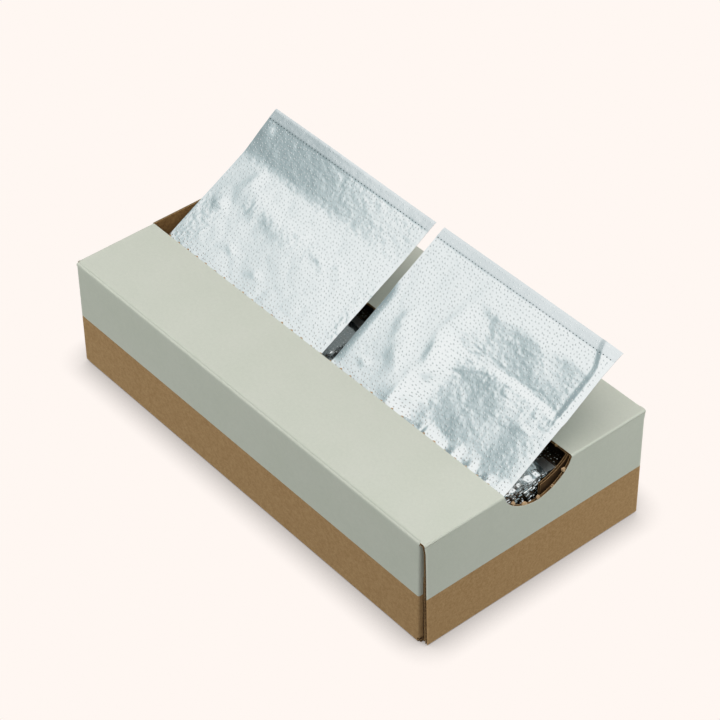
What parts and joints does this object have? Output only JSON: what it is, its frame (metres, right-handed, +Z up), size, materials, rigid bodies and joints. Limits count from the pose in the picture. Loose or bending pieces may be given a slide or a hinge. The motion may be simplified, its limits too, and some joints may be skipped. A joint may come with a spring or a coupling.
{
  "type": "pop-up hair foil dispenser carton",
  "caption": "Folded board carton that dispenses pre-cut hair foils: a torn slot along the top with an end finger notch, stacked foils inside and sheets standing out of the slot.",
  "frame": {"origin": "middle of the carton's base, on the surface that it stands on", "axes": "+X along the carton towards the end with the finger notch, +Y from the front wall to the back wall, +Z up"},
  "size_m": [0.27, 0.141, 0.1062],
  "materials": {
    "printed_board": "corrugated board printed sage green, with a kraft lower band",
    "kraft_board": "bare brown corrugated board",
    "foil_sheet": "bright embossed foil",
    "foil_stack": "stacked embossed foil"
  },
  "bodies": {
    "carton": {"bottom_panel": "kraft_board", "front_panel": "printed_board", "back_panel": "printed_board", "top_front_strip": "printed_board", "top_back_strip": "printed_board", "glue_lap": "kraft_board", "left_front_dust_flap": "kraft_board", "left_back_dust_flap": "kraft_board", "right_front_dust_flap": "kraft_board", "right_back_dust_flap": "kraft_board", "left_foil_stack": "foil_stack", "right_foil_stack": "foil_stack", "left_ready_sheet": "foil_sheet", "right_ready_sheet": "foil_sheet"},
    "left_outer_flap": {"left_outer_flap": "printed_board"},
    "left_inner_flap": {"left_inner_flap": "kraft_board"},
    "right_outer_flap": {"right_outer_flap": "printed_board"},
    "right_inner_flap": {"right_inner_flap": "kraft_board"},
    "left_popped_sheet": {"left_popped_sheet": "foil_sheet"},
    "right_popped_sheet": {"right_popped_sheet": "foil_sheet"}
  },
  "joints": [
    {"name": "left_outer_flap_hinge", "type": "hinge", "parent": "carton", "child": "left_outer_flap", "pos_m": [-0.135, 0, 0.0663], "axis": [0, 1, 0], "range_deg": [0, 180]},
    {"name": "left_inner_flap_hinge", "type": "hinge", "parent": "carton", "child": "left_inner_flap", "pos_m": [-0.1332, 0, 0], "axis": [0, -1, 0], "range_deg": [0, 60]},
    {"name": "right_outer_flap_hinge", "type": "hinge", "parent": "carton", "child": "right_outer_flap", "pos_m": [0.135, 0, 0.0663], "axis": [0, -1, 0], "range_deg": [0, 180]},
    {"name": "right_inner_flap_hinge", "type": "hinge", "parent": "carton", "child": "right_inner_flap", "pos_m": [0.1332, 0, 0], "axis": [0, 1, 0], "range_deg": [0, 60]},
    {"name": "left_sheet_pull", "type": "slide", "parent": "carton", "child": "left_popped_sheet", "axis": [0, 0.8704, 0.4924], "range_m": [0, 0.11]},
    {"name": "right_sheet_pull", "type": "slide", "parent": "carton", "child": "right_popped_sheet", "axis": [0, 0.848, 0.5299], "range_m": [0, 0.11]}
  ],
  "couplings": [
    {"joint": "left_inner_flap_hinge", "follows": "left_outer_flap_hinge", "ratio": 0.3333},
    {"joint": "right_inner_flap_hinge", "follows": "right_outer_flap_hinge", "ratio": 0.3333}
  ]
}
